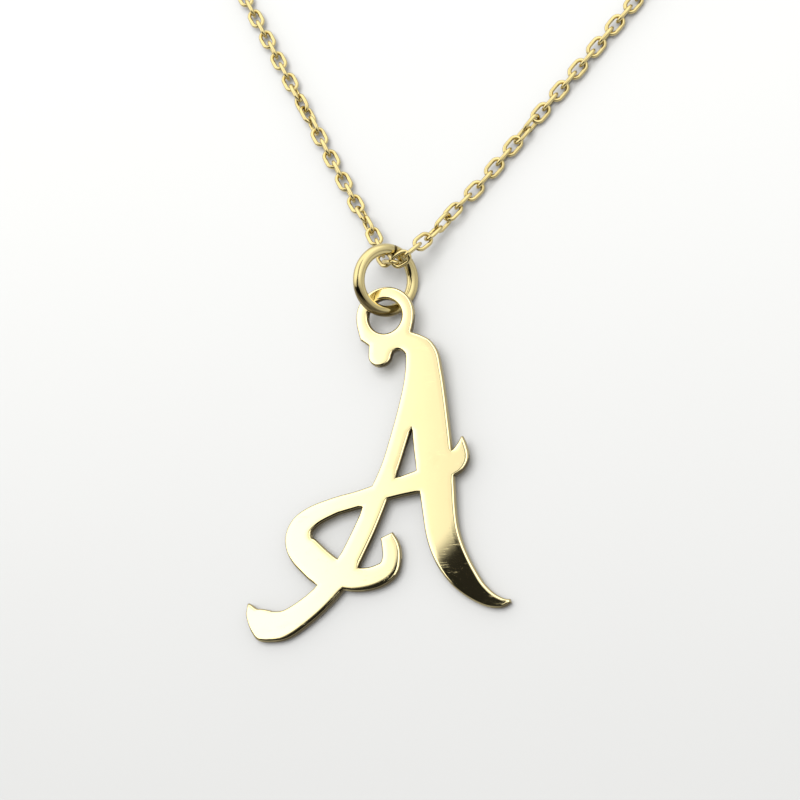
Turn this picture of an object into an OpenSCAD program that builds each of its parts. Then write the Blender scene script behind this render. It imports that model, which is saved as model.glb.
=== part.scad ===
// Gold initial pendant: a flat script capital with an eye at its top, a split jump ring through
// the eye, and a fine necklace chain through the ring, laid out as it rests on a table.
// Lengths are in millimetres. Z is up, and Y runs from the letter's feet to the back of the chain.

/* [Letter] */
// Width of the letter over both feet
letter_w = 19.2; // [18:0.1:21]
// Height of the letter, from the middle of its hanging hole down to its feet
letter_h = 22.8; // [21.5:0.1:25]
// Thickness of the plate
plate_t = 0.7; // [0.55:0.05:0.9]
// Width of the thick right stem
stem_w = 2.7; // [2.3:0.05:3.1]
// Width of the thin left leg
leg_w = 1.5; // [1.2:0.05:1.8]
// Width of the crossbar
bar_w = 1.4; // [1.1:0.05:1.7]
// Width of the loop that the crossbar runs into
loop_w = 2.1; // [1.7:0.05:2.4]
// Width of the left foot
foot_w = 2.1; // [1.8:0.05:2.4]
// Width of the upturned hook beside the left foot
hook_w = 1.4; // [1.1:0.05:1.6]
// Width of the pointed spur on the stem
spur_w = 1.8; // [1.4:0.05:2.1]
// Diameter of the ball at the start of the stem
ball_d = 1.8; // [1.5:0.05:2.1]

/* [Hanging eye] */
// Outer diameter of the eye
eye_od = 4.35; // [4.1:0.05:4.6]
// Diameter of the hanging hole
eye_hole = 2.5; // [2.3:0.05:2.7]

/* [Jump ring] */
// Outer diameter of the ring
ring_od = 5.24; // [5:0.02:5.6]
// Diameter of the ring's round wire
ring_wire = 0.84; // [0.7:0.02:0.9]
// Width of the open seam between the wire's ends
ring_seam = 0.12; // [0.05:0.01:0.2]
// Clearance between the ring and the plate that it holds
ring_clear = 0.05; // [0.02:0.01:0.1]

/* [Chain] */
// Length of the chain with its clasp
chain_length = 457; // [400:1:500]
// Width of the chain over its links
chain_d = 1.2; // [1:0.05:1.4]
// Angle of the left strand from the letter's upright
left_strand = 27.8; // [23:0.1:33]
// Angle of the right strand from the letter's upright
right_strand = 41.8; // [37:0.1:47]

/* [Clasp] */
// Outer diameter of the clasp ring
clasp_od = 5.5; // [5:0.1:6.5]
// Diameter of the clasp ring's tube
clasp_tube = 1.1; // [0.9:0.05:1.3]
// Outer diameter of the end tags that take the chain
tag_od = 2.4; // [2.1:0.05:2.7]
// Diameter of the hole in an end tag
tag_hole = 1.2; // [1:0.05:1.3]
// Thickness of an end tag
tag_t = 0.5; // [0.4:0.05:0.6]
// Clearance between the chain's ends and the tags
tag_clear = 0.1; // [0.05:0.01:0.2]

/* [Hidden] */
letter_gold = "#f3e2a8";
ring_gold = "#d8c58a";
spline_steps = 4;
// Facets of a large round and of a small one, and how far a cutter passes its faces
fine = 72;
coarse = 32;
cut_past = 1;

// Strokes of the letter as the pen would draw them. x is a share of letter_w, to the right of the
// hanging hole, drop a share of letter_h, below it, and w a share of the stroke's own width.
neck_path = [ // x, drop, w
    [0.000, 0.000, 1.00],
    [0.001, 0.022, 0.98],
    [0.002, 0.044, 0.93],
    [0.003, 0.059, 0.89],
    [0.004, 0.070, 0.84],
    [0.005, 0.090, 0.60]];
ball_path = [ // x, drop, w
    [0.014, 0.060, 1.20],
    [-0.011, 0.096, 1.07],
    [-0.018, 0.122, 1.00]];
stem_path = [ // x, drop, w
    [0.020, 0.086, 0.58],
    [0.052, 0.082, 0.54],
    [0.099, 0.094, 0.61],
    [0.125, 0.111, 0.75],
    [0.137, 0.125, 0.83],
    [0.145, 0.147, 0.92],
    [0.150, 0.190, 0.98],
    [0.158, 0.240, 1.00],
    [0.172, 0.340, 1.01],
    [0.184, 0.440, 1.02],
    [0.197, 0.540, 0.96],
    [0.206, 0.620, 0.90],
    [0.217, 0.685, 0.88],
    [0.238, 0.742, 0.86],
    [0.269, 0.793, 0.80],
    [0.305, 0.834, 0.69],
    [0.346, 0.869, 0.53],
    [0.392, 0.895, 0.39],
    [0.434, 0.905, 0.26],
    [0.465, 0.900, 0.09]];
leg_path = [ // x, drop, w
    [0.117, 0.125, 0.97],
    [0.117, 0.160, 0.96],
    [0.109, 0.220, 0.95],
    [0.088, 0.300, 0.96],
    [0.055, 0.390, 0.90],
    [0.020, 0.480, 0.90],
    [-0.025, 0.570, 1.02],
    [-0.072, 0.660, 1.06],
    [-0.127, 0.750, 1.09],
    [-0.170, 0.815, 1.20]];
foot_path = [ // x, drop, w
    [-0.160, 0.800, 0.80],
    [-0.213, 0.848, 0.83],
    [-0.274, 0.894, 0.86],
    [-0.346, 0.935, 0.93],
    [-0.391, 0.951, 1.01],
    [-0.432, 0.953, 1.04],
    [-0.456, 0.951, 1.03]];
toe_path = [ // x, drop, w
    [-0.407, 0.989, 0.33],
    [-0.422, 0.977, 0.71],
    [-0.441, 0.962, 1.02],
    [-0.460, 0.947, 1.07],
    [-0.485, 0.930, 0.87],
    [-0.508, 0.911, 0.53],
    [-0.519, 0.891, 0.25],
    [-0.526, 0.879, 0.05]];
bar_path = [ // x, drop, w
    [0.190, 0.512, 1.15],
    [0.125, 0.529, 1.16],
    [0.052, 0.543, 1.03],
    [-0.030, 0.559, 0.95],
    [-0.104, 0.575, 0.92],
    [-0.160, 0.585, 0.94],
    [-0.205, 0.594, 0.93]];
loop_path = [ // x, drop, w
    [-0.180, 0.5885, 0.62],
    [-0.256, 0.611, 0.71],
    [-0.302, 0.634, 0.80],
    [-0.323, 0.654, 0.87],
    [-0.332, 0.680, 0.95],
    [-0.326, 0.706, 1.02],
    [-0.306, 0.728, 1.12],
    [-0.274, 0.755, 1.14],
    [-0.240, 0.780, 1.15],
    [-0.190, 0.805, 1.05]];
hook_path = [ // x, drop, w
    [-0.185, 0.812, 1.00],
    [-0.120, 0.819, 1.20],
    [-0.062, 0.819, 1.18],
    [-0.017, 0.809, 1.15],
    [0.015, 0.791, 1.09],
    [0.027, 0.758, 0.99],
    [0.023, 0.722, 0.93],
    [0.007, 0.687, 0.68]];
spur_path = [ // x, drop, w
    [0.220, 0.495, 0.80],
    [0.262, 0.482, 0.86],
    [0.283, 0.455, 0.80],
    [0.292, 0.420, 0.37],
    [0.293, 0.396, 0.06]];

// Round cove between the ball and the leg: where it is, and its width
cove_at = [0.0525, 0.136];
cove_w = 1.05;

// Half the width of a slit between strokes that is closed
sliver = 0.02;

// Lowest points of the two feet, where they touch the table, in the same shares
left_touch = [-0.425, 1.007];
right_touch = [0.415, 0.922];

// The ring's wire crosses the middle of the plate this share of the hole from the hole's centre
ring_pass = [-0.06, 0.18];
// Turn of the ring's downhill side from +X, and how far past its near side the wire crosses
ring_turn = -17.5;
ring_past = 15;
// Tilts tried for the ring until it clears the eye, and the steps in which its wire is followed
ring_tilts = [40:0.5:85];
ring_steps = [0:5:355];
// First guess at the plate's lean, and how often it is bettered
lean_guess = 3;
lean_rounds = 8;
// Place of the seam round the ring, from its downhill side
seam_at = 85;

// The chain's way through the ring, in shares of the ring's middle radius: x and y from the ring's
// centre, and height above the table
chain_sides = 8;
chain_way = [ // x, y, z
    [-1.80, 3.91, 0.25],
    [-1.14, 2.73, 0.36],
    [-0.64, 1.73, 0.50],
    [-0.25, 0.73, 0.66],
    [0.05, 0.15, 1.00],
    [0.41, 0.46, 1.23],
    [0.82, 0.82, 1.28],
    [1.45, 1.45, 0.94],
    [2.27, 2.32, 0.46],
    [3.23, 3.59, 0.25]];
// Where the lines of the two strands cross, from the ring's centre, in the same shares
strands_cross = [0.17, 0.17];
// Rings of the chain's tube round the arc, how many of them lie left of the clasp, how many along
// each strand, and the steps from one row of its way to the next
arc_rings = 46;
left_arc_rings = 21;
strand_rings = 2;
way_steps = 2;

// Points on a smooth curve through the rows of a table
function row(t, i) = t[min(max(i, 0), len(t) - 1)];
function between(a, b, c, d, u) =
    b + (c - a) * u / 2 + (2 * a - 5 * b + 4 * c - d) * u * u / 2 + (3 * b - a - 3 * c + d) * u * u * u / 2;
function smooth(t, n) = concat(
    [for (i = [0:len(t) - 2], k = [0:n - 1])
        between(row(t, i - 1), t[i], t[i + 1], row(t, i + 2), k / n)],
    [t[len(t) - 1]]);
function unit(v) = v / norm(v);
function backwards(v) = [for (i = [len(v) - 1:-1:0]) v[i]];

// One side of a pen stroke of the given full width
function at(share) = [share[0] * letter_w, -share[1] * letter_h];
function stroke_side(c, w, side) = [for (i = [0:len(c) - 1])
    let (t = unit(at(row(c, i + 1)) - at(row(c, i - 1))))
    at(c[i]) + side * c[i][2] * w / 2 * [-t[1], t[0]]];

// The ring in the letter's own frame: the hole's centre is the origin, and the plate's middle z = 0
ring_r = (ring_od - ring_wire) / 2;
function ring_down(tilt) = [cos(tilt) * cos(ring_turn), cos(tilt) * sin(ring_turn), -sin(tilt)];
ring_side = [-sin(ring_turn), cos(ring_turn), 0];
function ring_offset(tilt, a) = ring_r * (cos(a) * ring_down(tilt) + sin(a) * ring_side);
function ring_centre(tilt) = [ring_pass[0] * eye_hole, ring_pass[1] * eye_hole, 0]
    - ring_offset(tilt, ring_past - 90);
// Gap between the ring's wire and the eye of the plate
function eye_gap(p) = norm([
    max(norm([p[0], p[1]]) - eye_od / 2, eye_hole / 2 - norm([p[0], p[1]]), 0),
    max(abs(p[2]) - plate_t / 2, 0)]) - ring_wire / 2;
function ring_gap(tilt) = min([for (a = ring_steps) eye_gap(ring_centre(tilt) + ring_offset(tilt, a))]);
ring_tilt = [for (t = ring_tilts) if (ring_gap(t) >= ring_clear) t][0];
ring_mid = ring_centre(ring_tilt) + [0, 0, plate_t / 2];
ring_normal = [sin(ring_tilt) * cos(ring_turn), sin(ring_tilt) * sin(ring_turn), cos(ring_tilt)];

// The plate leans on the ring, turned up about the line through its two feet
foot_line = unit(at(right_touch) - at(left_touch));
foot_up = [-foot_line[1], foot_line[0]];
function table_normal(lean) = [foot_up[0] * sin(lean), foot_up[1] * sin(lean), cos(lean)];
function ring_reach(lean) = ring_r * norm(cross(ring_normal, table_normal(lean))) + ring_wire / 2;
ring_run = ([ring_mid[0], ring_mid[1]] - at(left_touch)) * foot_up;
function find_lean(lean, n) = n <= 0 ? lean
    : find_lean(asin((ring_reach(lean) - ring_mid[2] * cos(lean)) / ring_run), n - 1);
lean = find_lean(lean_guess, lean_rounds);

// The same point once the plate has been turned up, with the table at z = 0
function turned(p) =
    let (q = [p[0], p[1]] - at(left_touch))
    let (up = q * foot_up, along = q * foot_line)
    let (flat = at(left_touch) + along * foot_line + (up * cos(lean) - p[2] * sin(lean)) * foot_up)
    [flat[0], flat[1], up * sin(lean) + p[2] * cos(lean)];
ring_at = turned(ring_mid);

// The chain lies in a teardrop: two straight strands, and an arc round the back of the neck
half_spread = (left_strand + right_strand) / 2;
loop_r = chain_length / (2 / tan(half_spread) + PI * (180 + 2 * half_spread) / 180);
cross_at = [ring_at[0], ring_at[1]] + ring_r * strands_cross;
bisector = (right_strand - left_strand) / 2;
loop_mid = cross_at + loop_r / sin(half_spread) * [sin(bisector), cos(bisector)];
chain_z = chain_d / 2 * cos(180 / chain_sides);

// The origin is under the middle of the whole, on the table
front_y = at(left_touch)[1];
back_y = loop_mid[1] + loop_r + clasp_od / 2;
origin = [loop_mid[0], (front_y + back_y) / 2];

// The chain's middle line, from the clasp's left tag round the front to its right tag
tag_x = clasp_od / 2 - clasp_tube / 2 + tag_od / 2;
chain_end = asin((tag_x + tag_od / 2 + tag_clear) / loop_r);
function on_arc(a) = [loop_mid[0] + loop_r * cos(a), loop_mid[1] + loop_r * sin(a), chain_z];
function arc_points(from, to, n) = [for (i = [0:n]) on_arc(from + (to - from) * i / n)];
function strand_points(from, to) = [for (i = [1:strand_rings]) from + (to - from) * i / (strand_rings + 1)];
front_way = [for (p = chain_way)
    [ring_at[0] + ring_r * p[0], ring_at[1] + ring_r * p[1], max(ring_r * p[2], chain_z)]];
left_arc = arc_points(90 + chain_end, 180 + left_strand, left_arc_rings);
right_arc = arc_points(-right_strand, 90 - chain_end, arc_rings - left_arc_rings);
chain_line = concat(left_arc,
    strand_points(left_arc[len(left_arc) - 1], front_way[0]),
    smooth(front_way, way_steps),
    strand_points(front_way[len(front_way) - 1], right_arc[0]),
    right_arc);

// A tube swept along the points of a line, with closed ends
function heading(line, i) = unit(row(line, i + 1) - row(line, i - 1));
function sweep_ring(line, i) =
    let (t = heading(line, i))
    let (side = unit(cross([0, 0, 1], t)))
    let (up = cross(t, side))
    [for (k = [0:chain_sides - 1])
        let (a = 360 * (k + 0.5) / chain_sides)
        line[i] + chain_d / 2 * (cos(a) * side + sin(a) * up)];
module tube(line) {
    n = chain_sides;
    last = len(line) - 1;
    polyhedron(
        points = [for (i = [0:last], p = sweep_ring(line, i)) p],
        faces = concat(
            [[for (k = [0:n - 1]) k]],
            [for (i = [0:last - 1], k = [0:n - 1])
                let (j = (k + 1) % n)
                each [
                    [i * n + k, (i + 1) * n + k, (i + 1) * n + j],
                    [i * n + k, (i + 1) * n + j, i * n + j]]],
            [[for (k = [n - 1:-1:0]) last * n + k]]));
}

module stroke(path, w) {
    c = smooth(path, spline_steps);
    polygon(concat(stroke_side(c, w, 1), backwards(stroke_side(c, w, -1))));
}

module strokes() {
    circle(d = eye_od, $fn = fine);
    translate(at(ball_path[len(ball_path) - 1])) circle(d = ball_d, $fn = coarse);
    stroke(neck_path, eye_od);
    stroke(ball_path, ball_d);
    stroke(stem_path, stem_w);
    stroke(leg_path, leg_w);
    stroke(foot_path, foot_w);
    stroke(toe_path, foot_w);
    stroke(bar_path, bar_w);
    stroke(loop_path, loop_w);
    stroke(hook_path, hook_w);
    stroke(spur_path, spur_w);
}

module outline() {
    offset(delta = -sliver) offset(delta = sliver) difference() {
        strokes();
        translate(at(cove_at)) circle(d = cove_w, $fn = coarse);
    }
}

// Turns what lies flat in the letter's frame up onto its feet and the ring
module leaning() {
    foot = at(left_touch);
    translate([foot[0] - origin[0], foot[1] - origin[1], 0])
        rotate(a = lean, v = [foot_line[0], foot_line[1], 0])
        translate([-foot[0], -foot[1], 0])
        children();
}

module letter_a() {
    color(letter_gold) leaning() difference() {
        linear_extrude(plate_t) outline();
        translate([0, 0, -cut_past]) cylinder(d = eye_hole, h = plate_t + 2 * cut_past, $fn = fine);
    }
}

module jump_ring() {
    seam = 2 * asin(ring_seam / 2 / ring_r);
    color(ring_gold) leaning() translate(ring_mid) rotate([0, ring_tilt, ring_turn])
        rotate([0, 0, seam_at + seam / 2]) rotate_extrude(angle = 360 - seam, $fn = fine)
        translate([ring_r, 0]) circle(d = ring_wire, $fn = coarse);
}

module chain() {
    color(ring_gold) translate([-origin[0], -origin[1], 0]) tube(chain_line);
}

module end_tag(side) {
    translate([side * tag_x, 0, clasp_tube / 2 - tag_t / 2]) linear_extrude(tag_t) difference() {
        circle(d = tag_od, $fn = coarse);
        circle(d = tag_hole, $fn = coarse);
    }
}

module clasp() {
    color(ring_gold) translate([loop_mid[0] - origin[0], loop_mid[1] + loop_r - origin[1], 0]) {
        translate([0, 0, clasp_tube / 2]) rotate_extrude($fn = fine)
            translate([(clasp_od - clasp_tube) / 2, 0]) circle(d = clasp_tube, $fn = coarse);
        end_tag(-1);
        end_tag(1);
    }
}

letter_a();
jump_ring();
chain();
clasp();
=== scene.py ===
import math

import bmesh
import bpy
import numpy as np
from mathutils import Matrix, Vector


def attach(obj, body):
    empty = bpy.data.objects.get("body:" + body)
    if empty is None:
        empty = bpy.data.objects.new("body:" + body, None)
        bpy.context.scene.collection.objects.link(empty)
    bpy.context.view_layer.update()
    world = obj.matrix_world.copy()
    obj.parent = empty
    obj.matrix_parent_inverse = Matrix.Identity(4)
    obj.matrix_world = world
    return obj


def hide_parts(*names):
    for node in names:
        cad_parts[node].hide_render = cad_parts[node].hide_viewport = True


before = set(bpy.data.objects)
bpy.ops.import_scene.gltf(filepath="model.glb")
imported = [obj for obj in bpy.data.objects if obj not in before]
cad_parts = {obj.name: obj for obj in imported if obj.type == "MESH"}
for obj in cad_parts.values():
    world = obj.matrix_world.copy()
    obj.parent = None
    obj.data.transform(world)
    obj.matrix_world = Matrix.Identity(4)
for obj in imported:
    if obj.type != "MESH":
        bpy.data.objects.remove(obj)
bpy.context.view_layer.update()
mm = 0.001
tiny = 1e-9  # keeps a length that may be nothing from dividing by zero
print("frame loaded:", ", ".join(sorted(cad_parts)))

# The picture's view of the letter, from the right and a little below
view = {
    "place": (27.3579, -119.3878, 120.0564),
    "target": (-12.8379, -84.1224, 1.5668),
    "roll": -50.318,
    "focalPixels": 1857.1,
    "imageWidth": 800,
    "sensor": 36,
    "clip": (5, 20000),
}

# How the letter leans: its plane's own right, up and out of the face, and the line it turns about
plate = {
    "right": (0.99998, 0.00019, -0.00667),
    "up": (0.00019, 0.99846, 0.05551),
    "out": (0.00667, -0.05551, 0.99844),
    "feetLine": (0.99286, 0.11931, 0),
    "lean": 3.20517,
}


def plateWays():
    return [Vector(plate[name]) for name in ("right", "up", "out")]


# The way that goes so far along the plate's right and so far along its up
def wayOnPlate(across, upward):
    right, up = plateWays()[:2]
    return right * across + up * upward


def addCamera():
    camera = bpy.data.cameras.new("photoView")
    camera.sensor_width = view["sensor"]
    camera.lens = view["focalPixels"] / view["imageWidth"] * view["sensor"]
    camera.clip_start, camera.clip_end = (distance * mm for distance in view["clip"])
    holder = bpy.data.objects.new("photoView", camera)
    bpy.context.scene.collection.objects.link(holder)
    place = Vector(view["place"]) * mm
    looking = (Vector(view["target"]) * mm - place).to_track_quat("-Z", "Y").to_matrix()
    turned = looking @ Matrix.Rotation(math.radians(view["roll"]), 3, "Z")
    holder.matrix_world = Matrix.Translation(place) @ turned.to_4x4()
    bpy.context.scene.camera = holder


def selectOnly(*pieces):
    bpy.ops.object.select_all(action="DESELECT")
    for piece in pieces:
        piece.select_set(True)
    bpy.context.view_layer.objects.active = pieces[0]


def startEditing(piece, mode="VERT"):
    selectOnly(piece)
    bpy.ops.object.mode_set(mode="EDIT")
    bpy.ops.mesh.select_mode(type=mode)
    bpy.ops.mesh.select_all(action="DESELECT")


def stopEditing():
    bpy.ops.object.mode_set(mode="OBJECT")


# Selects what a test says yes to, in the mode that is on
def pick(piece, kind, test):
    shape = bmesh.from_edit_mesh(piece.data)
    for part in getattr(shape, kind):
        part.select_set(test(part))
    shape.select_flush(True)
    bmesh.update_edit_mesh(piece.data)


def finishPiece(piece, node, material, smoothAngle):
    selectOnly(piece)
    bpy.ops.object.transform_apply(location=True, rotation=True, scale=True)
    piece.data.materials.clear()
    piece.data.materials.append(material)
    bpy.ops.object.shade_smooth_by_angle(angle=math.radians(smoothAngle))
    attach(piece, "root")
    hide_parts(node)


# One socket of a shader, so that numbers in a node tree read as sums
class Amount:
    def __init__(self, sketch, socket):
        self.sketch, self.socket = sketch, socket

    def math(self, operation, *values):
        numbered = dict(enumerate(values))
        return self.sketch.node("ShaderNodeMath", {"operation": operation}, numbered)

    def __add__(self, other):
        return self.math("ADD", self, other)

    def __sub__(self, other):
        return self.math("SUBTRACT", self, other)

    def __rsub__(self, other):
        return self.math("SUBTRACT", other, self)

    def __mul__(self, other):
        return self.math("MULTIPLY", self, other)

    def least(self, other):
        return self.math("MINIMUM", self, other)

    def most(self, other):
        return self.math("MAXIMUM", self, other)

    def rising(self, low, high):
        soft = {"interpolation_type": "SMOOTHSTEP"}
        values = {"Value": self, "From Min": low, "From Max": high}
        return self.sketch.node("ShaderNodeMapRange", soft, values)

    __radd__ = __add__
    __rmul__ = __mul__


# A node tree to draw a finish in
class Sketch:
    def __init__(self, tree):
        self.tree = tree

    def node(self, kind, settings=None, values=None, output=0):
        made = self.tree.nodes.new(kind)
        for name, setting in (settings or {}).items():
            setattr(made, name, setting)
        for name, value in (values or {}).items():
            if isinstance(value, Amount):
                self.tree.links.new(value.socket, made.inputs[name])
            else:
                made.inputs[name].default_value = value
        return Amount(self, made.outputs[output]) if made.outputs else made

    # Colour a where the mask is 0 and colour b where it is 1
    def mixed(self, mask, a, b):
        a, b = (c if isinstance(c, Amount) else (*c, 1.0) for c in (a, b))
        values = {0: mask, 6: a, 7: b}  # the sockets for colours
        return self.node("ShaderNodeMix", {"data_type": "RGBA"}, values, 2)

    def place(self):
        return self.node("ShaderNodeTexCoord", output="Object")

    def attribute(self, name):
        return self.node("ShaderNodeAttribute", {"attribute_name": name}, output="Fac")

    # Goes from 0 to 1 from one y to another, in millimetres
    def backward(self, place, start, end):
        y = self.node("ShaderNodeSeparateXYZ", None, {"Vector": place}, "Y")
        return y.rising(start * mm, end * mm)

    def stretched(self, place, turn, scale):
        values = {"Vector": place, "Rotation": (0, 0, math.radians(turn)), "Scale": scale}
        return self.node("ShaderNodeMapping", None, values)

    def noise(self, place, scale, detail, rough=0.5):
        values = {"Vector": place, "Scale": scale, "Detail": detail, "Roughness": rough}
        return self.node("ShaderNodeTexNoise", None, values)


def newMaterial(name):
    material = bpy.data.materials.new(name)
    material.use_nodes = True
    material.node_tree.nodes.clear()
    return material, Sketch(material.node_tree)


# What all the golds share: three sets of scratches that show in patches, specks, and a stain. Each
# is a noise with a fineness, and Shows is how high the noise is where it starts and where it is full
wear = {
    "scratches": ((24, 9000), (-38, 12000), (81, 15000)),  # turn in degrees, fineness
    "scratchStretch": (0.045, 1, 1),
    "scratchShows": (0.62, 0.70),
    "scratchDull": 0.55,
    "patches": 700,
    "patchShows": (0.48, 0.66),
    "specks": 5200,
    "speckShows": (0.70, 0.76),
    "speckDull": 0.7,
    "stain": 420,
    "stainShows": (0.55, 0.85),
    "stainMost": 0.35,
    # painted shade: the dark colour that stands in for shade on the ring, and its least share where
    # there are no specks
    "paintedShadeColour": (0.12, 0.08, 0.03),
    "paintedShadeLeast": 0.8,
}
# Each gold's own: how dull it is where it is clean and where it is scuffed, and the depth in metres
# of the scratches and of the soft waves that the polishing wheel leaves
letterFinish = {
    "colour": (1.0, 0.86, 0.47),
    "stain": (0.93, 0.72, 0.36),
    "polish": 0.04,
    "scuffed": 0.24,
    "scratchDepth": 6e-8,
    "waveDepth": 1.2e-6,
    "waveScale": 260,
}
sawnFinish = {
    "colour": (0.40, 0.34, 0.19),
    "stain": (0.28, 0.21, 0.10),
    "polish": 0.36,
    "scuffed": 0.55,
    "scratchDepth": 1.5e-7,
    "waveDepth": 2.5e-6,
    "waveScale": 1600,
}
# The sawn finish made much darker: painted shade for the sawn walls that face down and to the right
shadedFinish = {**sawnFinish, "colour": (0.13, 0.105, 0.06), "stain": (0.09, 0.07, 0.035)}
ringFinish = {
    "colour": (0.58, 0.485, 0.235),
    "stain": (0.42, 0.31, 0.12),
    "polish": 0.10,
    "scuffed": 0.30,
    "scratchDepth": 1.5e-7,
    "waveDepth": 2.5e-6,
    "waveScale": 900,
}
chainFinish = {
    "colour": (0.60, 0.49, 0.225),
    "stain": (0.46, 0.34, 0.14),
    "polish": 0.11,
    "scuffed": 0.34,
    "scratchDepth": 1.5e-7,
    "waveDepth": 2.5e-6,
    "waveScale": 1600,
}


def goldMaterial(name, finish):
    material, sketch = newMaterial(name)
    place = sketch.place()
    scratches = []
    for turn, fineness in wear["scratches"]:
        stretched = sketch.stretched(place, turn, wear["scratchStretch"])
        scratches.append(sketch.noise(stretched, fineness, detail=1).rising(*wear["scratchShows"]))
    patches = sketch.noise(place, wear["patches"], detail=3).rising(*wear["patchShows"])
    scratched = scratches[0].most(scratches[1]).most(scratches[2]) * patches
    specks = sketch.noise(place, wear["specks"], detail=2).rising(*wear["speckShows"])
    stains = sketch.noise(place, wear["stain"], detail=4, rough=0.6).rising(*wear["stainShows"])
    waves = sketch.noise(place, finish["waveScale"], detail=1, rough=0.4)
    worn = (scratched * wear["scratchDull"] + specks * wear["speckDull"]).least(1.0)
    dull = finish["polish"] + worn * (finish["scuffed"] - finish["polish"])
    relief = waves * finish["waveDepth"] - scratched * finish["scratchDepth"]
    bump = sketch.node("ShaderNodeBump", None, {"Strength": 1.0, "Distance": 1.0, "Height": relief})
    clean = sketch.mixed(stains * wear["stainMost"], finish["colour"], finish["stain"])
    # Painted shade: where a piece carries the paintedShade attribute, its colour goes over to a dark
    # brown that stands in for shade and dark reflection
    uneven = wear["paintedShadeLeast"] + specks * (1 - wear["paintedShadeLeast"])
    paintedShade = sketch.attribute("paintedShade") * uneven
    values = {
        "Base Color": sketch.mixed(paintedShade, clean, wear["paintedShadeColour"]),
        "Metallic": 1.0,
        "Roughness": dull,
        "Normal": bump,
    }
    shader = sketch.node("ShaderNodeBsdfPrincipled", None, values)
    sketch.node("ShaderNodeOutputMaterial", None, {"Surface": shader})
    return material


# The letter's face dips a hair towards its rim, as a buffed sheet's does, and its edge is a small
# round. Lengths are in millimetres, rings are how far each ring of points lies in from the rim, and
# a dip is its reach, its depth and its power
letter = {
    "thick": 0.7,
    "weld": 0.03,
    "sliver": 0.003,
    "stuck": 0.002,
    "edgeRound": 0.20,
    "backRound": 0.32,
    "dips": ((0.50, 0.0125, 2),),
    "rings": (
        *(0, 0.004, 0.013, 0.027, 0.045, 0.068, 0.095, 0.125),
        *(0.16, 0.20, 0.24, 0.28, 0.33, 0.39, 0.46, 0.52),
    ),
    "flat": 0.999,  # faces that look out of the plate by more than this are its flat side
    "steep": 0.84,  # and those that do so by less than this are its sawn wall
    "shadedWay": (0.6, -0.8),
    "shadedFrom": 0.62,
    "firstStep": 0.004,
    "step": 0.012,
    "feel": 0.04,  # parts of the rim that are this much farther than the nearest still push
    "crowded": 0.5,  # a point stays where the pushes leave less than this of each other
    "longestStride": 1.6,
    "smooth": 50,
}


# From each point, the ways to all the segments from a to b of the rim, and how far they are
def waysToRim(points, a, b):
    along = b - a
    share = ((points[:, None] - a) * along).sum(2) / (along**2).sum(1)
    away = points[:, None] - a - np.clip(share, 0, 1)[..., None] * along
    return away, np.linalg.norm(away, axis=2)


# Moves points straight away from the rim. One stays where it meets the middle of a narrow stroke
def moveIn(points, a, b, step):
    away, far = waysToRim(points, a, b)
    near = far <= far.min(1)[:, None] + letter["feel"]
    pushes = away / np.maximum(far, tiny)[..., None] * near[..., None]
    mean = pushes.sum(1) / near.sum(1)[:, None]
    size = np.linalg.norm(mean, axis=1)[:, None]
    stride = np.minimum(1 / np.maximum(size, tiny), letter["longestStride"]) * step
    return points + (size > letter["crowded"]) * mean / np.maximum(size, tiny) * stride


def ringsInFrom(points, before, after):
    def sideways(v):
        return np.stack([-v[:, 1], v[:, 0]], 1) / np.linalg.norm(v, axis=1)[:, None]

    first = sideways(points - before) + sideways(after - points)
    there = points + first / np.linalg.norm(first, axis=1)[:, None] * letter["firstStep"]
    rings, gone = [points], letter["firstStep"]
    for distance in letter["rings"][1:]:
        while gone < distance - tiny:
            step = min(letter["step"], distance - gone)
            there = moveIn(there, points, after, step)
            gone += step
        rings.append(there)
    return rings


# How far the surface lies under the flat face at a distance from the rim
def edgeDrop(distance, width):
    drop = width * (1 - np.sqrt(1 - np.clip(1 - distance / width, 0, 1) ** 2))
    for reach, depth, power in letter["dips"]:
        drop += depth * np.clip(1 - distance / reach, 0, 1) ** power
    return drop


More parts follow.
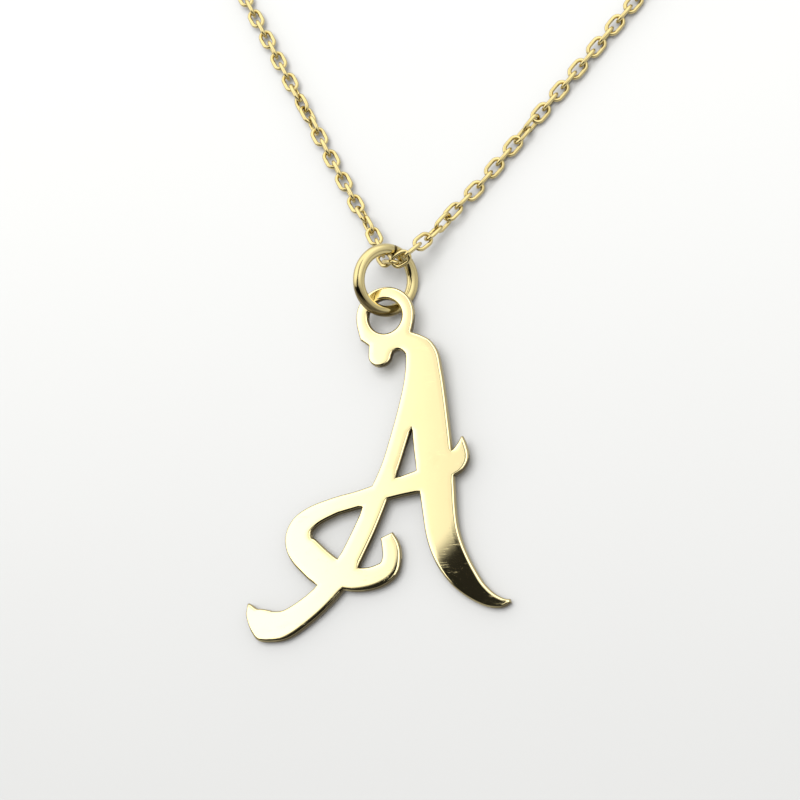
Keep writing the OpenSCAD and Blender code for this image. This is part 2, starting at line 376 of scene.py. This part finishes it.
# Rounds one side of the plate: its flat face is taken off, and ring after ring is drawn in from the
# rim and set at the height of the edge there, and the rest is filled
def roundSide(piece, side, width):
    right, up, out = plateWays()
    facing = out * side
    pick(piece, "faces", lambda face: face.normal.dot(facing) > letter["flat"])
    bpy.ops.mesh.delete(type="FACE")
    bpy.ops.mesh.select_mode(type="EDGE")
    level = max(v.co.dot(facing) for v in piece.data.vertices)
    lowest = level - letter["thick"] / 2 * mm
    pick(piece, "edges", lambda edge: edge.is_boundary and edge.verts[0].co.dot(facing) > lowest)
    shape = bmesh.from_edit_mesh(piece.data)
    rim = [v for v in shape.verts if v.select]
    index = {v: i for i, v in enumerate(rim)}
    points = np.array([(v.co.dot(right) / mm, v.co.dot(up) / mm) for v in rim])
    before, after = points.copy(), points.copy()
    for edge in (e for e in shape.edges if e.select):
        # the wall's face runs one way along the rim, so the plate's face runs the other way
        loop = edge.link_loops[0]
        start, end = (loop.link_loop_next.vert, loop.vert)[::side]
        after[index[start]] = points[index[end]]
        before[index[end]] = points[index[start]]
    names = {tuple(v.co): i for v, i in index.items()}
    for number, there in enumerate(ringsInFrom(points, before, after)):
        if number:
            bpy.ops.mesh.extrude_edges_move()
        shape = bmesh.from_edit_mesh(piece.data)
        ring = [v for v in shape.verts if v.select]
        order = [names[tuple(v.co)] for v in ring]
        depth = edgeDrop(waysToRim(there, points, after)[1].min(1), width)
        names = {}
        for v, i in zip(ring, order):
            raised = facing * (level - depth[i] * mm)
            v.co = right * there[i, 0] * mm + up * there[i, 1] * mm + raised
            names[tuple(v.co)] = i
        bmesh.update_edit_mesh(piece.data)
    bpy.ops.mesh.select_all(action="SELECT")
    bpy.ops.mesh.remove_doubles(threshold=letter["stuck"] * mm)
    pick(piece, "edges", lambda edge: edge.is_boundary and edge.verts[0].co.dot(facing) > lowest)
    bpy.ops.mesh.fill(use_beauty=True)
    bpy.ops.mesh.select_mode(type="VERT")
    bpy.ops.mesh.select_all(action="SELECT")
    bpy.ops.mesh.normals_make_consistent(inside=False)


def copyOfNode(node, name):
    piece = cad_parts[node].copy()
    piece.data = piece.data.copy()
    piece.name = piece.data.name = name
    piece.parent = None
    for key in list(piece.keys()):
        del piece[key]
    bpy.context.scene.collection.objects.link(piece)
    return piece


# Gives a second material to the faces that a test says yes to
def paintFaces(piece, material, test):
    piece.data.materials.append(material)
    piece.active_material_index = len(piece.data.materials) - 1
    startEditing(piece, "FACE")
    pick(piece, "faces", test)
    bpy.ops.object.material_slot_assign()
    stopEditing()


def makeLetter(material, sawnMaterial, shadedMaterial):
    piece = copyOfNode("letter_a", "scriptLetter")
    selectOnly(piece)
    bpy.ops.mesh.customdata_custom_splitnormals_clear()
    startEditing(piece)
    bpy.ops.mesh.select_all(action="SELECT")
    bpy.ops.mesh.remove_doubles(threshold=letter["weld"] * mm)
    bpy.ops.mesh.dissolve_degenerate(threshold=letter["sliver"] * mm)
    roundSide(piece, 1, letter["edgeRound"])
    roundSide(piece, -1, letter["backRound"])
    stopEditing()
    finishPiece(piece, "letter_a", material, letter["smooth"])
    out = plateWays()[2]
    shadedWay = wayOnPlate(*letter["shadedWay"])

    def sawn(face):
        return abs(face.normal.dot(out)) < letter["steep"]

    # Sawn walls that face down and to the right get the painted shade
    def shaded(face):
        return sawn(face) and face.normal.dot(shadedWay) > letter["shadedFrom"]

    paintFaces(piece, sawnMaterial, sawn)
    paintFaces(piece, shadedMaterial, shaded)
    print("letter made:", len(piece.data.polygons), "faces")


# The jump ring: a round wire bent round, its cut ends left a hair apart. Its place is that of the
# solid that it stands for. Lengths are in millimetres and turns in degrees
ring = {
    "middle": (-13.8641, -75.3515, 2.1508),
    "radius": 2.2,
    "wire": 0.84,
    "seam": 0.12,
    "seamAt": 91,
    "tilt": 50.5,
    "turn": -17.5,
    "wireSides": 24,
    "steps": 120,
    "endSoft": 0.03,
    "endRise": 0.018,
    "dark": 0.90,
    "darkWay": (-0.10, -1.0),  # where the side with painted shade looks
    "darkFrom": (0.14, 0.42),
    "darkBelow": 0.45,
    "darkSeam": 0.10,
    "smooth": 35,
}


def ringPlacing():
    lean = Matrix.Rotation(math.radians(plate["lean"]), 4, Vector(plate["feetLine"]))
    turn = Matrix.Rotation(math.radians(ring["turn"]), 4, "Z")
    tilt = Matrix.Rotation(math.radians(ring["tilt"]), 4, "Y")
    return Matrix.Translation(Vector(ring["middle"]) * mm) @ lean @ turn @ tilt


def makeRing(material):
    bpy.ops.object.select_all(action="DESELECT")
    bpy.ops.mesh.primitive_circle_add(
        vertices=ring["wireSides"],
        radius=ring["wire"] / 2 * mm,
        fill_type="NOTHING",
        location=(ring["radius"] * mm, 0, 0),
        rotation=(math.pi / 2, 0, 0),
    )
    piece = bpy.context.object
    piece.name = piece.data.name = "splitRing"
    bpy.ops.object.transform_apply(location=True, rotation=True, scale=True)
    gap = 2 * math.asin(ring["seam"] / 2 / ring["radius"])
    startEditing(piece)
    bpy.ops.mesh.select_all(action="SELECT")
    bpy.ops.transform.rotate(
        value=-(math.radians(ring["seamAt"]) + gap / 2),
        orient_axis="Z",
        center_override=(0, 0, 0),
    )
    bpy.ops.mesh.spin(
        steps=ring["steps"], angle=2 * math.pi - gap, center=(0, 0, 0), axis=(0, 0, 1)
    )
    stopEditing()
    closeEnds(piece)
    piece.matrix_world = ringPlacing()
    finishPiece(piece, "jump_ring", material, ring["smooth"])
    paintRingShade(piece)
    print("ring made:", len(piece.data.polygons), "faces")


# The outer side of the ring's lower half gets painted shade, the dark that it mirrors painted into
# its colour, and the cut ends get painted shade too, the dark of the slit between them
def paintRingShade(piece):
    darkWay = wayOnPlate(*ring["darkWay"])
    middle, upward = Vector(ring["middle"]) * mm, wayOnPlate(0, 1)
    reach = ring["darkBelow"] * ring["radius"] * mm
    ends = [face for face in piece.data.polygons if len(face.vertices) == ring["wireSides"]]
    seam, throughSeam = (ends[0].center + ends[1].center) / 2, ends[0].normal
    marks = piece.data.attributes.new("paintedShade", "FLOAT", "POINT")
    for point, mark in zip(piece.data.vertices, marks.data):
        below = (middle - point.co).dot(upward) / reach
        turned = np.interp(point.normal.dot(darkWay), ring["darkFrom"], (0, 1))
        mark.value = ring["dark"] * turned * min(max(below, 0), 1)
        away = point.co - seam
        nearSeam = away.length < ring["wire"] * mm
        if nearSeam and abs(away.dot(throughSeam)) < ring["darkSeam"] * mm:
            mark.value = 1.0


# Closes the spun wire's open ends and takes the sharp edge off them
def closeEnds(piece):
    startEditing(piece, "EDGE")
    pick(piece, "edges", lambda edge: edge.is_boundary)
    bpy.ops.mesh.fill_holes(sides=0)
    bpy.ops.mesh.select_all(action="SELECT")
    bpy.ops.mesh.normals_make_consistent(inside=False)
    bpy.ops.mesh.select_mode(type="FACE")
    pick(piece, "faces", lambda face: len(face.verts) == ring["wireSides"])
    bpy.ops.mesh.inset(thickness=ring["endSoft"] * mm, depth=ring["endRise"] * mm)
    stopEditing()


# The chain: real links, each through the next, on the same way as the solid that they stand for.
# Lengths are in millimetres. The passage is how the links go down to the ring, through it and away
# over its wire, from the ring's middle and above the table
chain = {
    "loopRadius": 63.1742,
    "loopMiddle": (0.0, 34.8906),
    "leftStrand": 27.8,  # degrees of the loop that go on past its half on this side
    "rightStrand": 41.8,
    "lying": 0.60,
    "wire": 0.30,
    "bend": 0.42,
    "middle": 0.008,  # what lies nearer than this to a link's middle isn't drawn out
    "drawn": 0.24,
    "stretch": 1.08,
    "fineLink": (28, 8),  # sides round the link, sides of its wire
    "plainLink": (12, 6),
    "leftPitch": 1.085,
    "passPitch": 1.0975,
    "rightPitch": 1.035,
    "passLinks": 16,
    "leftInView": 22,
    "rightInView": 42,
    "facing": (0.30924, -0.27128, 0.9115),  # the way to the camera
    "looseTurn": 5,
    "seed": 7,
    "clearOfClasp": 4.42,
    "smooth": 60,
}
passage = (  # x, y, height
    (-4.94, 10.37, 0.60),
    (-3.90, 8.46, 0.60),
    (-2.97, 6.71, 0.66),
    (-2.36, 5.70, 0.78),
    (-1.82, 4.73, 0.92),
    (-1.29, 3.74, 1.05),
    (-0.85, 2.85, 1.15),
    (-0.42, 1.93, 1.35),
    (0.25, 1.42, 1.88),
    (1.45, 1.40, 2.63),
    (2.30, 2.30, 2.30),
    (2.92, 3.02, 1.75),
    (3.61, 3.89, 1.32),
    (4.23, 4.77, 1.05),
    (4.91, 5.58, 0.85),
    (5.57, 6.29, 0.70),
    (6.25, 6.94, 0.62),
    (7.66, 8.49, 0.60),
)
firstInPassage = 2  # the row that the first counted link sits on
# The links where a quarter turn of the chain begins and ends, counted from that first one
twists = ((-11, -6), (0, 3), (9, 13), (18, 21))


def smoothWay(points, steps=8):
    padded = np.vstack([2 * points[0] - points[1], points, 2 * points[-1] - points[-2]])
    way = []
    for a, b, c, d in zip(padded, padded[1:], padded[2:], padded[3:]):
        for u in np.arange(steps) / steps:
            bent = (2 * a - 5 * b + 4 * c - d) * u**2 + (3 * b - a - 3 * c + d) * u**3
            way.append(b + ((c - a) * u + bent) / 2)
    return np.array(way + [points[-1]])


def arcWay(start, end, steps=240):
    turn = np.radians(np.linspace(start, end, steps))
    middle, radius = chain["loopMiddle"], chain["loopRadius"]
    across, upward = middle[0] + radius * np.cos(turn), middle[1] + radius * np.sin(turn)
    return np.stack([across, upward, np.full(steps, chain["lying"])], 1)


# The whole way of the chain, and how far along it the first link of the passage is
def chainWay():
    ends = math.degrees(math.asin(chain["clearOfClasp"] / chain["loopRadius"]))
    ringMiddle = np.array([ring["middle"][0], ring["middle"][1], 0])
    through = smoothWay(np.array(passage) + ringMiddle)
    left = arcWay(90 + ends, 180 + chain["leftStrand"])
    right = arcWay(-chain["rightStrand"], 90 - ends)
    way = np.vstack([left, through, right])
    gone = np.concatenate([[0], np.cumsum(np.linalg.norm(np.diff(way, axis=0), axis=1))])
    anchor = np.array(passage[firstInPassage]) + ringMiddle
    return way, gone, gone[np.linalg.norm(way - anchor, axis=1).argmin()]


# Where the links sit along the way, and the number of each from the first of the passage
def linkStations(whole, anchor):
    lastOfPass = anchor + chain["passLinks"] * chain["passPitch"]
    leftCount = round(anchor / chain["leftPitch"])
    rightCount = round((whole - lastOfPass) / chain["rightPitch"])
    stations = [
        *(anchor * (1 - np.arange(leftCount, 0, -1) / leftCount)),
        *(anchor + np.arange(chain["passLinks"]) * chain["passPitch"]),
        *(lastOfPass + (whole - lastOfPass) * np.arange(rightCount + 1) / rightCount),
    ]
    return np.array(stations), np.arange(len(stations)) - leftCount


def twistAt(number):
    turned = 0
    for start, end in twists:
        turned += 90 * min(max((number - start) / (end - start), 0), 1)
    return turned


# How each link is turned about its own length, and how well it is hidden: 0 in view and 1 at the
# chain's ends, where the links stand upright in the clasp's eyes
def linkRolls(numbers):
    marks = (numbers[0], -chain["leftInView"], chain["rightInView"], numbers[-1])
    hidden = np.interp(numbers, marks, (1, 0, 0, 1))
    rolls = np.array([90 * (number % 2) + twistAt(number) - twistAt(0) for number in numbers])
    ends = np.where(numbers < 0, rolls[0], rolls[-1])
    loose = np.random.default_rng(chain["seed"]).uniform(-1, 1, len(numbers)) * chain["looseTurn"]
    return rolls + hidden * ((180 - ends) % 180 - 90) + loose * (1 - hidden), hidden


# A round ring drawn out at both sides
def makeLink(name, sides):
    bpy.ops.object.select_all(action="DESELECT")
    bpy.ops.mesh.primitive_torus_add(
        major_segments=sides[0],
        minor_segments=sides[1],
        major_radius=chain["bend"] * mm,
        minor_radius=chain["wire"] / 2 * mm,
    )
    link = bpy.context.object
    link.name = link.data.name = name
    for side in (-1, 1):
        startEditing(link)
        pick(link, "verts", lambda v: v.co.x * side > chain["middle"] * mm)
        bpy.ops.transform.translate(value=(side * chain["drawn"] * mm, 0, 0))
        stopEditing()
    startEditing(link)
    bpy.ops.mesh.select_all(action="SELECT")
    bpy.ops.transform.resize(value=(chain["stretch"], 1, 1), center_override=(0, 0, 0))
    stopEditing()
    return link


def layLinks(link, name, places, material):
    copies = []
    for place in places:
        copy = link.copy()
        copy.data = link.data.copy()
        copy.matrix_world = place
        bpy.context.scene.collection.objects.link(copy)
        copies.append(copy)
    selectOnly(*copies)
    bpy.ops.object.join()
    piece = bpy.context.object
    piece.name = piece.data.name = name
    finishPiece(piece, "chain", material, chain["smooth"])


def makeChain(material):
    way, gone, anchor = chainWay()
    stations, numbers = linkStations(gone[-1], anchor)
    centres = np.stack([np.interp(stations, gone, way[:, i]) for i in range(3)], 1)
    headings = np.gradient(centres, axis=0)
    rolls, hidden = linkRolls(numbers)
    places = []
    for centre, heading, roll, unseen in zip(centres, headings, rolls, hidden):
        along = Vector(heading).normalized()
        face = Vector(chain["facing"]).lerp(Vector((0, 0, 1)), unseen)
        face = (face - along * face.dot(along)).normalized()
        frameOfLink = Matrix((along, face.cross(along), face)).transposed()
        turned = frameOfLink @ Matrix.Rotation(math.radians(roll), 3, "X")
        places.append(Matrix.Translation(Vector(centre) * mm) @ turned.to_4x4())
    first = (numbers >= -chain["leftInView"]).argmax()
    last = (numbers > chain["rightInView"]).argmax()
    fineLink = makeLink("fineLink", chain["fineLink"])
    plainLink = makeLink("plainLink", chain["plainLink"])
    layLinks(plainLink, "chainLeft", places[:first], material)
    layLinks(fineLink, "chainFront", places[first:last], material)
    layLinks(plainLink, "chainRight", places[last:], material)
    for pattern in (fineLink, plainLink):
        bpy.data.objects.remove(pattern)
    print("chain laid:", len(places), "links")


# The clasp, out of the picture: a plain ring with a flat eye on each side, which an end link holds
clasp = {
    "middle": (0, 98.0648, 0.55),
    "radius": 2.2,
    "tube": 1.1,
    "eyeAt": 3.37,
    "eyeRadius": 0.9,
    "rimWide": 0.56,
    "rimThick": 0.38,
    "soft": 0.1,
    "softSteps": 3,
    "stuck": 0.001,
    "ringSides": 56,
    "tubeSides": 16,
    "eyeSides": 48,
    "smooth": 50,
}


def makeEye(middle):
    bpy.ops.object.select_all(action="DESELECT")
    bpy.ops.mesh.primitive_plane_add(
        size=mm,
        location=middle + Vector((clasp["eyeRadius"] * mm, 0, 0)),
        rotation=(math.pi / 2, 0, 0),
    )
    eye = bpy.context.object
    eye.scale = (clasp["rimWide"], clasp["rimThick"], 1)
    bpy.ops.object.transform_apply(location=True, rotation=True, scale=True)
    startEditing(eye)
    bpy.ops.mesh.select_all(action="SELECT")
    soft, steps = clasp["soft"] * mm, clasp["softSteps"]
    bpy.ops.mesh.bevel(offset=soft, segments=steps, affect="VERTICES")
    bpy.ops.mesh.delete(type="ONLY_FACE")
    bpy.ops.mesh.select_all(action="SELECT")
    bpy.ops.mesh.spin(steps=clasp["eyeSides"], angle=2 * math.pi, center=middle, axis=(0, 0, 1))
    bpy.ops.mesh.select_all(action="SELECT")
    bpy.ops.mesh.remove_doubles(threshold=clasp["stuck"] * mm)
    bpy.ops.mesh.normals_make_consistent(inside=False)
    stopEditing()
    return eye


def makeClasp(material):
    middle = Vector(clasp["middle"]) * mm
    bpy.ops.object.select_all(action="DESELECT")
    bpy.ops.mesh.primitive_torus_add(
        major_segments=clasp["ringSides"],
        minor_segments=clasp["tubeSides"],
        major_radius=clasp["radius"] * mm,
        minor_radius=clasp["tube"] / 2 * mm,
        location=middle,
    )
    parts = [bpy.context.object]
    for side in (-1, 1):
        parts.append(makeEye(middle + Vector((side * clasp["eyeAt"] * mm, 0, 0))))
    selectOnly(*parts)
    bpy.ops.object.join()
    piece = bpy.context.object
    piece.name = piece.data.name = "claspRing"
    finishPiece(piece, "clasp", material, clasp["smooth"])
    print("clasp made:", len(piece.data.polygons), "faces")


# The table. It gets darker towards the front, from one y to another: painted shade
table = {
    "size": 4000,
    "near": (0.262, 0.262, 0.259),
    "far": (0.330, 0.330, 0.326),
    "fade": (-125, -47),
    "mottle": 60,
    "mottleShare": 0.06,
    "dull": 0.7,
}


def makeFloor():
    bpy.ops.object.select_all(action="DESELECT")
    bpy.ops.mesh.primitive_plane_add(size=table["size"] * mm, location=(0, 0, 0))
    floor = bpy.context.object
    floor.name = "table"
    material, sketch = newMaterial("paleTable")
    place = sketch.place()
    fade = sketch.backward(place, *table["fade"])
    mottle = sketch.noise(place, table["mottle"], detail=3)
    mask = fade * (1 - table["mottleShare"]) + mottle * table["mottleShare"]
    colour = sketch.mixed(mask.least(1.0), table["near"], table["far"])
    values = {"Base Color": colour, "Roughness": table["dull"]}
    shader = sketch.node("ShaderNodeBsdfPrincipled", None, values)
    sketch.node("ShaderNodeOutputMaterial", None, {"Surface": shader})
    floor.data.materials.append(material)


# The room that the gold mirrors: bright to the left, behind and to the right, plainer overhead where
# the flat face looks, and dimmer low down. The parts are measured along the letter's own directions:
# a bright part is how far to its side it starts and is full, for each part out of the face, and a
# dim one is where it starts, where it is full and how much it takes away
room = {
    "plain": 1.0,
    "bright": 0.95,
    "brightLeft": (0.28, 0.40),
    "brightBehind": (0.35, 0.75),
    "brightRight": (-0.10, 0.20),
    "dimRight": (0.50, 0.95, 0.40),
    "dimLow": (0.0, 0.45, 0.45),
    "dimFront": (0.05, 0.50, 0.50),
    "tint": (1.0, 1.0, 0.99),
}


def makeRoom():
    world = bpy.data.worlds.new("studio")
    bpy.context.scene.world = world
    world.use_nodes = True
    world.node_tree.nodes.clear()
    sketch = Sketch(world.node_tree)
    way = sketch.node("ShaderNodeTexCoord", output="Generated")
    across, upward, outward, high = (
        sketch.node("ShaderNodeVectorMath", {"operation": "DOT_PRODUCT"}, {0: way, 1: axis}, "Value")
        for axis in (plate["right"], plate["up"], plate["out"], (0, 0, 1))
    )

    def beyond(side, start, end):
        return (side - outward * start).rising(0, end - start)

    sides = (0 - across, "brightLeft"), (upward, "brightBehind"), (across, "brightRight")
    left, behind, rightward = (beyond(side, *room[name]) for side, name in sides)
    light = room["plain"] + left.most(behind).most(rightward) * room["bright"]
    dimRight = across.rising(*room["dimRight"][:2]) * room["dimRight"][2]
    dimLow = (1 - high.rising(*room["dimLow"][:2])) * room["dimLow"][2]
    dimFront = (0 - upward).rising(*room["dimFront"][:2]) * room["dimFront"][2]
    strength = light * (1 - dimRight) * (1 - dimLow) * (1 - dimFront)
    values = {"Color": (*room["tint"], 1.0), "Strength": strength}
    glow = sketch.node("ShaderNodeBackground", None, values)
    sketch.node("ShaderNodeOutputWorld", None, {"Surface": glow})


# What hangs over the table, which only the gold sees: a dark figure in front, and a lower, fainter
# bar that goes on from it to the back. Corners are x and y in millimetres, and Thick is how solid a
# card is at one y and at another
cards = {
    "figure": (
        (-21.5, -84.5),
        (-21, -118),
        (0, -119),
        (25.7, -139),
        (112, -185),
        (400, -330),
        (400, -900),
        (-800, -900),
        (-500, -160),
        (-149, -132),
        (-77.9, -126.5),
        (-51.5, -98),
        (-39.9, -90.2),
        (-34.6, -87.2),
        (-31.3, -84.3),
        (-28, -83.4),
    ),
    "bar": ((-17, -92), (-9.5, -92), (-9.5, -55), (-17, -55)),
    "figureHeight": 80,
    "barHeight": 38,
    "figureSoft": 2.6,
    "barSoft": 2.0,
    "figureThick": ((-255, 0.45), (-165, 1.0)),
    "barThick": ((-92, 1.0), (-55, 0.6)),
    "dark": 0.02,
}


def makeCard(name):
    card = bpy.data.objects.new(name, bpy.data.meshes.new(name))
    corners = [Vector((x, y, cards[name + "Height"])) * mm for x, y in cards[name]]
    card.data.from_pydata(corners, [], [range(len(corners))])
    bpy.context.scene.collection.objects.link(card)
    startEditing(card, "FACE")
    bpy.ops.mesh.select_all(action="SELECT")
    bpy.ops.mesh.inset(thickness=cards[name + "Soft"] * mm, depth=0)
    stopEditing()
    inside = card.data.attributes.new("inside", "FLOAT", "POINT")  # the points that the inset made
    for number in range(len(corners), len(card.data.vertices)):
        inside.data[number].value = 1.0
    material, sketch = newMaterial(name + "Dark")
    dark = sketch.node("ShaderNodeBsdfDiffuse", None, {"Color": (*[cards["dark"]] * 3, 1.0)})
    clear = sketch.node("ShaderNodeBsdfTransparent")
    (front, frontThick), (back, backThick) = cards[name + "Thick"]
    deep = sketch.backward(sketch.place(), front, back)
    soft = sketch.attribute("inside").rising(0.0, 1.0)
    share = (frontThick + deep * (backThick - frontThick)) * soft
    both = sketch.node("ShaderNodeMixShader", None, {0: share, 1: clear, 2: dark})
    sketch.node("ShaderNodeOutputMaterial", None, {"Surface": both})
    card.data.materials.append(material)
    for kind in ("camera", "diffuse", "shadow", "transmission", "volume_scatter"):
        setattr(card, "visible_" + kind, False)


# A broad soft light high over the table, which the gold doesn't mirror. Its power is in watts
lamp = {
    "place": (-25, -48, 480),
    "aim": (-14, -80, 0),
    "size": 400,
    "power": 4.35,
}


def makeLamp():
    light = bpy.data.lights.new("softbox", "AREA")
    light.shape = "DISK"
    light.size = lamp["size"] * mm
    light.energy = lamp["power"]
    holder = bpy.data.objects.new("softbox", light)
    bpy.context.scene.collection.objects.link(holder)
    holder.visible_glossy = False
    place = Vector(lamp["place"]) * mm
    holder.location = place
    holder.rotation_euler = (Vector(lamp["aim"]) * mm - place).to_track_quat("-Z", "Y").to_euler()


addCamera()
bpy.context.scene.view_settings.view_transform = "Standard"
makeLetter(
    goldMaterial("letterGold", letterFinish),
    goldMaterial("sawnGold", sawnFinish),
    goldMaterial("shadedGold", shadedFinish),
)
makeRing(goldMaterial("ringGold", ringFinish))
makeChain(goldMaterial("chainGold", chainFinish))
makeClasp(goldMaterial("claspGold", ringFinish))
makeFloor()
makeRoom()
makeCard("figure")
makeCard("bar")
makeLamp()
print("stage set")
